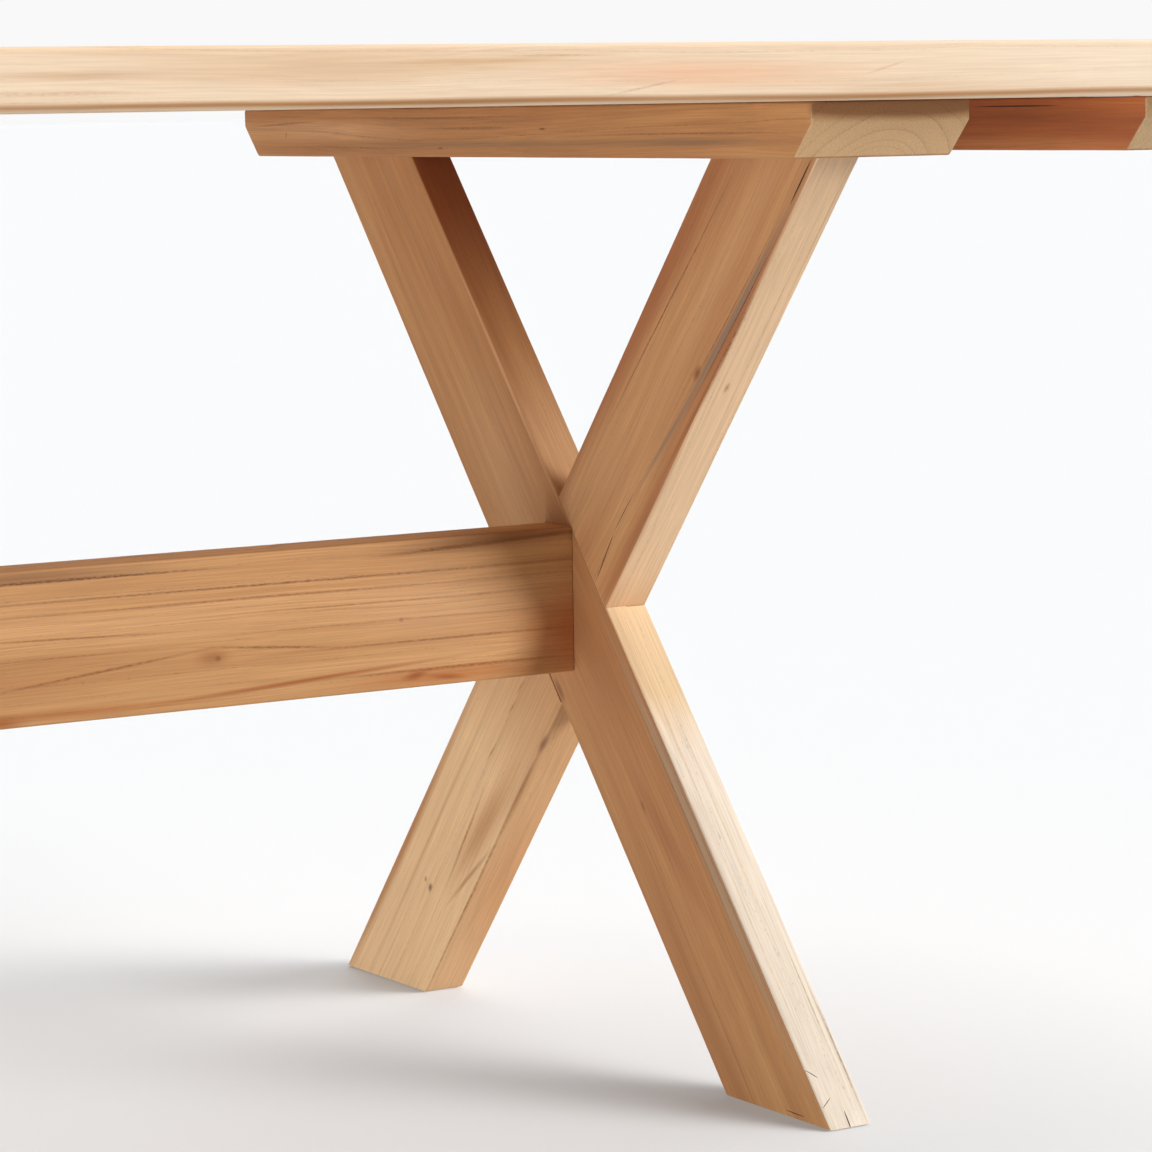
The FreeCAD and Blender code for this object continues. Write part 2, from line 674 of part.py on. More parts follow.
for side_name, side in (("front", -1), ("back", 1)):
    for place in range(int(SIZES["planks_each_side"])):
        make_plank(f"{side_name}_plank_{place + 1}", side, place)
make_batten("left_end_batten", f"-{END_X}")
make_batten("middle_batten", "0")
make_batten("right_end_batten", END_X)
make_rail("left_top_rail", f"-{RAIL_X}")
make_rail("right_top_rail", RAIL_X)
make_leg("right_front_leg", 1, 1)
make_leg("right_back_leg", 1, -1)
make_leg("left_back_leg", -1, 1)
make_leg("left_front_leg", -1, -1)
make_stretcher()
make_plank_screws()
make_rail_bolts()
make_stretcher_bolts()
make_dowels()
make_foot_pads()

doc.recompute()
for thing in doc.Objects:
    if {"Invalid", "Error"} & set(thing.State):
        raise RuntimeError(f"{thing.Label} failed: {thing.State}")
for body in nodes:
    if body.Shape.isNull() or not body.Shape.isValid():
        raise RuntimeError(f"{body.Label} is not a valid solid")

os.makedirs("parts", exist_ok=True)
for body in nodes:
    body.Shape.exportStep(f"parts/{body.Label}.step")
    box = body.Shape.BoundBox
    size = f"{box.XLength:.1f} x {box.YLength:.1f} x {box.ZLength:.1f}"
    print(f"{body.Label}: {len(body.Shape.Solids)} solid(s), {size}")
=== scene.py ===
import math

import bpy
from mathutils import Matrix, Quaternion, Vector


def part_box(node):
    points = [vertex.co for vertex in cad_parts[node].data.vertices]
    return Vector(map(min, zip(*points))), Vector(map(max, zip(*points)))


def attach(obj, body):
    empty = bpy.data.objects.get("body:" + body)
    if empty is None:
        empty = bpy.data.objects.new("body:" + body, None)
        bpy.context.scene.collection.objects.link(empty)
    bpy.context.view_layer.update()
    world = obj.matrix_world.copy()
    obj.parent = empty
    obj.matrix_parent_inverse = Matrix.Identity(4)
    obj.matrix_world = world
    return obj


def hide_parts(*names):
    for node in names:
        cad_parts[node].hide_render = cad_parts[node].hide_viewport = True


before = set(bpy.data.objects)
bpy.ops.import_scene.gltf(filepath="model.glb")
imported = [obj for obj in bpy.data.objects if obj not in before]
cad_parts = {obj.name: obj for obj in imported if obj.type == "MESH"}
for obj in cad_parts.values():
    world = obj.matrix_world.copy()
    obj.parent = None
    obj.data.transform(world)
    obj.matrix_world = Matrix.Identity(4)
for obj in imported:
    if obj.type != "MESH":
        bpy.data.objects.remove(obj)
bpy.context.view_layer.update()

# Metres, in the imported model's frame: X along the table, Y across it, Z up.
MM = 0.001

# What the boards measure, as in the solids that they stand for.
PLANK_SIZE = Vector((2400, 155, 38)) * MM
BATTEN_SIZE = Vector((800, 132, 38)) * MM
LEG_WIDTH, LEG_THICKNESS = 100 * MM, 36 * MM
STRETCHER_HEIGHT, STRETCHER_THICKNESS = 110 * MM, 40 * MM
LEG_TOP_OUT, LEG_FOOT_OUT, PAD_PROUD = 275 * MM, 280 * MM, 1 * MM
NOSE_HEIGHT, BEVEL_LENGTH = 14 * MM, 22 * MM
ARRIS, TOP_ARRIS, UNDER_ARRIS, SOLE_ARRIS = 2 * MM, 3 * MM, 5 * MM, 1.2 * MM
COUNTERBORE_RADIUS, COUNTERBORE_DEPTH = 9 * MM, 8 * MM
LAP_CLEARANCE = 0.35 * MM
FASTENER_ROW = 42 * MM
RAIL_BOLT_LINE = 200.04 * MM
STRETCHER_BOLT_RISE = 36 * MM
SCREW_LINE, PLANK_PITCH = 39.04 * MM, 161 * MM
SCREW_SINK_RADIUS, SCREW_SINK_DEPTH, SCREW_POINT_RADIUS = 5.25 * MM, 5.25 * MM, 0.1 * MM
NUT_DEPTH, NUT_HOLE_RADIUS, NUT_HOLE_REACH = 55 * MM, 7.2 * MM, 34.2 * MM
JOINT_ARRIS = 0.5 * MM

# How the boards are worked: the stretches that sanding bends, what cutters have to spare, how far from a
# plane an edge still counts as lying in it, and how straight it has to run to count as along the grain.
PLANK_STRETCH, BOARD_STRETCH, LEG_STRETCH = 60 * MM, 50 * MM, 40 * MM
LEG_SPARE, LAP_CUTTER_LENGTH = 1.2 * LEG_WIDTH, 300 * MM
DRILL_OVERRUN, DRILL_SIDES = 1 * MM, 48
HAIR = 0.01 * MM
NEARLY_ONE = 0.99
# A drying check's cutter is divided this often. Its ends and its root have these shares of its width.
CHECK_CUTS, CHECK_TIP, CHECK_ROOT = 10, 0.08, 0.25

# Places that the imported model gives.
rail_low, rail_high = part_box("right_top_rail")
batten_low, batten_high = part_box("right_end_batten")
stretcher_low, stretcher_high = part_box("stretcher")
rail_x = (rail_low.x + rail_high.x) / 2
batten_x = (batten_low.x + batten_high.x) / 2
batten_z = (rail_low.z + rail_high.z) / 2
leg_rise = rail_low.z - PAD_PROUD
leg_run = LEG_TOP_OUT + LEG_FOOT_OUT
stretcher_z = (stretcher_low.z + stretcher_high.z) / 2


def blank(name, size):
    """A squared board about the origin: its length along X, its width along Y and its thickness along Z."""
    bpy.ops.object.select_all(action="DESELECT")
    bpy.ops.mesh.primitive_cube_add(size=1)
    board = bpy.context.object
    board.name = name
    board.scale = size
    bpy.ops.object.transform_apply(location=False, rotation=False, scale=True)
    return board


def select_edges(board, test):
    """Opens a board in edit mode with those edges selected whose middle and direction pass a test."""
    bpy.context.view_layer.objects.active = board
    bpy.ops.object.mode_set(mode="EDIT")
    bpy.ops.mesh.select_mode(type="EDGE")
    bpy.ops.mesh.select_all(action="DESELECT")
    bpy.ops.object.mode_set(mode="OBJECT")
    points = [vertex.co for vertex in board.data.vertices]
    for edge in board.data.edges:
        start, end = (points[index] for index in edge.vertices)
        edge.select = test((start + end) / 2, (end - start).normalized())
    bpy.ops.object.mode_set(mode="EDIT")


def ease(board, radius, test, steps=4):
    """Rounds a board's edges as sandpaper does."""
    select_edges(board, test)
    bpy.ops.mesh.bevel(offset=radius, segments=steps, affect="EDGES")
    bpy.ops.object.mode_set(mode="OBJECT")


def along_grain(middle, way):
    """A test for edges that run along a board."""
    return abs(way.x) > NEARLY_ONE


def divide(board, step):
    """Divides a board's length into short stretches, so that sanding can make it a little uneven."""
    select_edges(board, along_grain)
    bpy.ops.mesh.subdivide(number_cuts=round(board.dimensions.x / step))
    bpy.ops.object.mode_set(mode="OBJECT")


def saw(board, point, outward):
    """Saws a board through at a point and takes off the side that outward points to."""
    bpy.context.view_layer.objects.active = board
    bpy.ops.object.mode_set(mode="EDIT")
    bpy.ops.mesh.select_all(action="SELECT")
    bpy.ops.mesh.bisect(plane_co=point, plane_no=outward, use_fill=True, clear_outer=True)
    bpy.ops.object.mode_set(mode="OBJECT")


def sand(board, depth=0.35 * MM, patch=70 * MM):
    """Takes a little off a board here and there, up to a depth, in patches of about a hand's width."""
    grit = bpy.data.textures.new("hand_sanding", "CLOUDS")
    grit.noise_scale = patch
    modifier = board.modifiers.new("sanding", "DISPLACE")
    modifier.texture = grit
    modifier.texture_coords = "LOCAL"
    modifier.mid_level = 0
    modifier.strength = -depth
    bpy.context.view_layer.objects.active = board
    bpy.ops.object.modifier_apply(modifier=modifier.name)


def pick(board):
    """Selects a board alone."""
    bpy.ops.object.select_all(action="DESELECT")
    board.select_set(True)
    bpy.context.view_layer.objects.active = board


def put(board, place):
    """Puts a board in its place in the table. The place goes into its mesh."""
    pick(board)
    board.matrix_world = place
    bpy.ops.object.transform_apply(location=True, rotation=True, scale=True)


def another(board, name, place):
    """A copy of a board with its own mesh, in another place."""
    copy = board.copy()
    copy.data = board.data.copy()
    copy.name = name
    bpy.context.scene.collection.objects.link(copy)
    put(copy, place)
    return copy


def cut_out(board, cutter):
    """Takes a cutter's shape out of a board. The cutter is used up."""
    modifier = board.modifiers.new("cut", "BOOLEAN")
    modifier.operation = "DIFFERENCE"
    modifier.solver = "EXACT"
    modifier.object = cutter
    bpy.context.view_layer.objects.active = board
    bpy.ops.object.modifier_apply(modifier=modifier.name)
    bpy.data.objects.remove(cutter)


def drill(board, mouth, inward, radius, depth, point_radius=None):
    """Drills a hole, straight or tapered to a smaller point, from its mouth inwards."""
    bpy.ops.object.select_all(action="DESELECT")
    inward = Vector(inward)
    bpy.ops.mesh.primitive_cone_add(
        vertices=DRILL_SIDES,
        radius1=radius,
        radius2=radius if point_radius is None else point_radius,
        depth=depth + DRILL_OVERRUN,
        location=Vector(mouth) + inward * (depth - DRILL_OVERRUN) / 2,
        rotation=inward.to_track_quat("Z", "Y").to_euler(),
    )
    cut_out(board, bpy.context.object)


def split(board, place, start, end, outward, width, depth):
    """Opens a drying check: a thin split, widest in the middle, from a face inwards. Its measures are in
    millimetres, and its ends lie in the board's axes from the board's middle."""
    start, end, outward = Vector(start) * MM, Vector(end) * MM, Vector(outward)
    width, depth = width * MM, depth * MM
    length = (end - start).length
    along = (end - start).normalized()
    cutter = blank("split", (length, width, 2 * depth))
    divide(cutter, length / CHECK_CUTS)
    select_edges(cutter, lambda middle, way: abs(middle.x) > length / 2 - HAIR)
    bpy.ops.transform.resize(
        value=(1, CHECK_TIP, 1),
        use_proportional_edit=True,
        proportional_edit_falloff="SPHERE",
        proportional_size=length / 2,
    )
    bpy.ops.mesh.select_all(action="DESELECT")
    bpy.ops.object.mode_set(mode="OBJECT")
    select_edges(cutter, lambda middle, way: middle.z < HAIR - depth)
    bpy.ops.transform.resize(value=(1, CHECK_ROOT, 1))
    bpy.ops.object.mode_set(mode="OBJECT")
    in_board = board_frame((start + end) / 2, along, outward.cross(along))
    put(cutter, place @ in_board)
    cut_out(board, cutter)


def linear(hex_colour):
    """Turns an sRGB hex colour into the linear one that shaders use."""
    values = [int(hex_colour[start:start + 2], 16) / 255 for start in (1, 3, 5)]
    return [v / 12.92 if v <= 0.04045 else ((v + 0.055) / 1.055) ** 2.4 for v in values] + [1]


def add(tree, kind, inputs=None, **settings):
    """Adds a node. Each of its inputs gets a value or, from another node's socket, a link."""
    node = tree.nodes.new("ShaderNode" + kind)
    for name, value in settings.items():
        setattr(node, name, value)
    for name, value in (inputs or {}).items():
        if isinstance(value, bpy.types.NodeSocket):
            tree.links.new(value, node.inputs[name])
        else:
            node.inputs[name].default_value = value
    return node


def new_material(name):
    """An empty material with its output node."""
    material = bpy.data.materials.new(name)
    material.use_nodes = True
    material.node_tree.nodes.clear()
    return material, material.node_tree, add(material.node_tree, "OutputMaterial")


def set_stops(ramp, stops):
    """Gives a colour ramp its stops, each a place and an sRGB hex colour."""
    elements = ramp.color_ramp.elements
    while len(elements) > 1:
        elements.remove(elements[-1])
    for index, (place, colour) in enumerate(stops):
        element = elements[0] if index == 0 else elements.new(place)
        element.position = place
        element.color = linear(colour)


def board_frame(centre, along, across):
    """A board's own axes: along its grain, across its width, and through its thickness."""
    along, across = Vector(along).normalized(), Vector(across).normalized()
    through = along.cross(across)
    turned = Matrix((along, across, through)).transposed().to_4x4()
    turned.translation = centre
    return turned


# What the grain measures in millimetres, along it and across it. Fibres and pores are drawn about a
# millimetre wide, so that they show at the picture's scale.
WANDER_LENGTH, WANDER_WIDTH = 480, 120
WANDER, SLIGHT_WANDER = 22, 7
FIBRE_LENGTH, FIBRE_WIDTH = 90, 1.1
PORE_LENGTH, PORE_WIDTH = 4, 0.8
BAND_LENGTH, BAND_WIDTH = 420, 20
NARROW_MARK = 2.5
# Rings drift outwards by up to so many millimetres, in waves that come at so many to a millimetre.
RING_DRIFT, RING_DRIFT_RATE = 30.0, 0.03
# A board's fibres and pores start this far along their pattern for each unit of its seed.
SEED_SHIFT = 37


def grain_scale(length, width):
    """The scale of a pattern that is so long along the grain and so wide across it, in millimetres."""
    return 1 / length, 1 / width, 1 / width


def grain_axes(tree, place, seed):
    """A board's own coordinates in millimetres: straight, slightly bent, and bent as its grain wanders,
    because no tree grows quite straight."""
    coordinates = add(tree, "TexCoord")
    straight = add(tree, "Mapping", {
        "Vector": coordinates.outputs["Object"],
        "Location": place.translation,
        "Rotation": place.to_euler(),
        "Scale": (MM, MM, MM),
    }, vector_type="TEXTURE").outputs[0]
    slow = add(tree, "VectorMath", {
        0: straight, 1: grain_scale(WANDER_LENGTH, WANDER_WIDTH),
    }, operation="MULTIPLY")
    bend = add(tree, "TexNoise", {
        "Vector": slow.outputs[0], "W": seed, "Scale": 1.0, "Detail": 2.0, "Roughness": 0.45,
    }, noise_dimensions="4D")
    middled = add(tree, "VectorMath", {0: bend.outputs["Color"], 1: (0.5, 0.5, 0.5)}, operation="SUBTRACT")
    slightly_bent, bent = (
        add(tree, "VectorMath", {
            0: middled.outputs[0], 1: (0, reach, reach), 2: straight,
        }, operation="MULTIPLY_ADD").outputs[0]
        for reach in (SLIGHT_WANDER, WANDER)
    )
    return straight, slightly_bent, bent


def streaks(tree, board, length, width, seed, detail, roughness):
    """A fine pattern of streaks along the grain, such as fibres or pores."""
    stretched = add(tree, "VectorMath", {
        0: board, 1: grain_scale(length, width), 2: (SEED_SHIFT * seed, 0, 0),
    }, operation="MULTIPLY_ADD")
    return add(tree, "TexNoise", {
        "Vector": stretched.outputs[0], "Scale": 1.0, "Detail": detail, "Roughness": roughness,
    }).outputs[0]


def early_wood(tree, board, pith, ring_mm):
    """Growth rings, measured from the pith. Each year's early wood is a thin dark line, and some years are
    harsher than others."""
    from_pith = add(tree, "VectorMath", {0: board, 1: (0, *pith)}, operation="SUBTRACT")
    level = add(tree, "VectorMath", {0: from_pith.outputs[0], 1: (0, 1, 1)}, operation="MULTIPLY")
    radius = add(tree, "VectorMath", {0: level.outputs[0]}, operation="LENGTH").outputs["Value"]
    drift = add(tree, "TexNoise", {
        "W": radius, "Scale": RING_DRIFT_RATE, "Detail": 1.0,
    }, noise_dimensions="1D")
    uneven = add(tree, "Math", {0: drift.outputs[0], 1: RING_DRIFT, 2: radius}, operation="MULTIPLY_ADD")
    phase = add(tree, "Math", {0: uneven.outputs[0], 1: ring_mm}, operation="DIVIDE").outputs[0]
    year = add(tree, "Math", {0: phase}, operation="FLOOR").outputs[0]
    season = add(tree, "Math", {0: phase}, operation="FRACT").outputs[0]
    harshness = add(tree, "TexWhiteNoise", {"W": year}, noise_dimensions="1D").outputs["Value"]
    early = add(tree, "ValToRGB", {"Fac": season})
    set_stops(early, [
        (0.0, "#000000"), (0.03, "#FFFFFF"), (0.08, "#A0A0A0"), (0.3, "#404040"), (1.0, "#000000"),
    ])
    return early.outputs[0], harshness


def facing(tree, way):
    """How far the surface faces a way: 1 where it looks straight along it, and -1 where it looks back."""
    surface = add(tree, "NewGeometry")
    return add(tree, "VectorMath", {
        0: surface.outputs["Normal"], 1: way,
    }, operation="DOT_PRODUCT").outputs["Value"]


def draw_mark(tree, colour, mark, where, thinned=None):
    """Lays a mark on a colour, at its place in the coordinates given. A pattern may thin it out."""
    centre, reach, turn, tint, strength = mark
    patch = add(tree, "Mapping", {
        "Vector": where,
        "Location": centre,
        "Rotation": [math.radians(angle) for angle in turn],
        "Scale": reach,
    }, vector_type="TEXTURE")
    far = add(tree, "VectorMath", {0: patch.outputs[0]}, operation="LENGTH").outputs["Value"]
    share = add(tree, "MapRange", {
        "Value": far, "To Min": strength, "To Max": 0.0,
    }, interpolation_type="SMOOTHSTEP").outputs[0]
    if thinned is not None:
        share = add(tree, "Math", {0: share, 1: thinned}, operation="MULTIPLY").outputs[0]
    return add(tree, "Mix", {
        "Factor": share, "A": colour, "B": linear(tint),
    }, data_type="RGBA").outputs["Result"]


def oiled_teak(
    name, place, tones, pith, ring_mm=14.0, line="#8A5A34", line_depth=0.35, pores=0.25, fibres=0.17,
    gloss=0.5, seed=0.0, end_tone="#E0C296", edge=(), marks=(), dirt=(),
):
    """Sanded and oiled teak. The board is sawn from one solid: its rings about the tree's pith run through
    all its faces, so that the long faces show lines and the ends show arcs. Pores are open, and oil leaves a
    soft sheen. Marks are sapwood, mineral streaks, knots and single dark lines, and on some boards painted
    shade and painted highlights where light falls: a place and a reach along, across and through the board
    in millimetres from its middle, a turn in degrees, a colour and a strength. Edge marks lie only on the
    board's edge that its second axis points to, and painted shade darkens the inside of its drying checks."""
    material, tree, output = new_material(name)
    straight, slightly_bent, board = grain_axes(tree, place, seed)
    fibre = streaks(tree, board, FIBRE_LENGTH, FIBRE_WIDTH, seed, detail=3.0, roughness=0.6)
    speck = streaks(tree, board, PORE_LENGTH, PORE_WIDTH, seed, detail=1.0, roughness=0.5)
    broken = add(tree, "MapRange", {
        "Value": speck, "From Min": 0.3, "From Max": 0.65, "To Min": 0.5, "To Max": 1.3,
    }).outputs[0]
    early, harshness = early_wood(tree, board, pith, ring_mm)
    least = add(tree, "MapRange", {"Value": early, "To Min": 0.72, "To Max": 0.58}).outputs[0]
    deep = add(tree, "Math", {0: speck, 1: least}, operation="SUBTRACT")
    pore = add(tree, "MapRange", {"Value": deep.outputs[0], "From Max": 0.1}).outputs[0]

    # Broad soft bands of darker and paler heartwood.
    broad = add(tree, "VectorMath", {0: board, 1: grain_scale(BAND_LENGTH, BAND_WIDTH)}, operation="MULTIPLY")
    band = add(tree, "TexNoise", {
        "Vector": broad.outputs[0], "W": seed, "Scale": 1.0, "Detail": 3.0, "Roughness": 0.5,
    }, noise_dimensions="4D").outputs[0]
    heart = add(tree, "ValToRGB", {"Fac": band})
    set_stops(heart, [(0.3, tones[2]), (0.5, tones[1]), (0.7, tones[0])])
    colour = heart.outputs[0]

    # End grain drinks more oil and scatters light, so it is greyer than the faces.
    endwise = add(tree, "Math", {0: facing(tree, place.col[0].to_3d())}, operation="ABSOLUTE")
    end = add(tree, "MapRange", {
        "Value": endwise.outputs[0], "From Min": 0.5, "From Max": 0.72, "To Max": 0.85,
    }, interpolation_type="SMOOTHSTEP").outputs[0]
    colour = add(tree, "Mix", {
        "Factor": end, "A": colour, "B": linear(end_tone),
    }, data_type="RGBA").outputs["Result"]

    # Narrow marks are broken up by the pores that they run through. Painted shade fills each check just where
    # it is cut.
    edgewise = add(tree, "MapRange", {
        "Value": facing(tree, place.col[1].to_3d()), "From Min": 0.5, "From Max": 0.85,
    }).outputs[0]
    for mark in edge:
        colour = draw_mark(tree, colour, mark, slightly_bent, edgewise)
    for mark in marks:
        reach = mark[1]
        colour = draw_mark(tree, colour, mark, slightly_bent, broken if min(reach) < NARROW_MARK else None)
    for mark in dirt:
        colour = draw_mark(tree, colour, mark, straight)

    # Ring lines, fibres and open pores run through all of it.
    harsh = add(tree, "MapRange", {"Value": harshness, "To Min": 0.1 * line_depth, "To Max": line_depth})
    drawn = add(tree, "Math", {0: early, 1: harsh.outputs[0]}, operation="MULTIPLY")
    lined = add(tree, "Math", {0: drawn.outputs[0], 1: broken}, operation="MULTIPLY").outputs[0]
    colour = add(tree, "Mix", {
        "Factor": lined, "A": colour, "B": linear(line),
    }, data_type="RGBA").outputs["Result"]
    tone = add(tree, "MapRange", {
        "Value": fibre, "From Min": 0.25, "From Max": 0.75, "To Min": 1 - fibres, "To Max": 1 + fibres,
    }).outputs[0]
    colour = add(tree, "Mix", {
        "Factor": 1.0, "A": colour, "B": tone,
    }, data_type="RGBA", blend_type="MULTIPLY").outputs["Result"]
    open_pore = add(tree, "Math", {0: pore, 1: pores}, operation="MULTIPLY").outputs[0]
    colour = add(tree, "Mix", {
        "Factor": open_pore, "A": colour, "B": linear("#5A381F"),
    }, data_type="RGBA").outputs["Result"]
    rough = add(tree, "MapRange", {"Value": fibre, "To Min": 0.64, "To Max": 0.82})
    height = add(tree, "Math", {0: pore, 1: -0.8, 2: fibre}, operation="MULTIPLY_ADD")
    bump = add(tree, "Bump", {"Height": height.outputs[0], "Strength": 0.2, "Distance": 0.3 * MM})
    shader = add(tree, "BsdfPrincipled", {
        "Base Color": colour,
        "Roughness": rough.outputs[0],
        "Normal": bump.outputs[0],
        "IOR": 1.5,
        "Specular IOR Level": gloss,
    })
    tree.links.new(shader.outputs[0], output.inputs[0])
    return material


def leg_frame(way):
    """A right-hand leg's axes. Way 1 runs up from the front foot to the back, way -1 from the back foot."""
    along = Vector((0, way * leg_run, leg_rise)).normalized()
    across = Vector((0, -along.z, along.y))
    middle = Vector((rail_x, way * (LEG_TOP_OUT - LEG_FOOT_OUT) / 2, PAD_PROUD + leg_rise / 2))
    return board_frame(middle, along, across)


# Where each board lies. The left trestle is the right one after half a turn about the table's middle.
HALF_TURN = Matrix.Rotation(math.pi, 4, "Z")
places = {
    "stretcher": board_frame(Vector((0, 0, stretcher_z)), (1, 0, 0), (0, 0, 1)),
    "right_front_leg": leg_frame(1),
    "right_back_leg": leg_frame(-1),
    "left_back_leg": HALF_TURN @ leg_frame(1),
    "left_front_leg": HALF_TURN @ leg_frame(-1),
}
for name, x in (
    ("left_end_batten", -batten_x), ("middle_batten", 0), ("right_end_batten", batten_x),
    ("left_top_rail", -rail_x), ("right_top_rail", rail_x),
):
    places[name] = board_frame(Vector((x, 0, batten_z)), (0, 1, 0), (-1, 0, 0))
for side in ("front", "back"):
    for number in (1, 2, 3):
        low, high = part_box(f"{side}_plank_{number}")
        places[f"{side}_plank_{number}"] = board_frame((low + high) / 2, (1, 0, 0), (0, 1, 0))

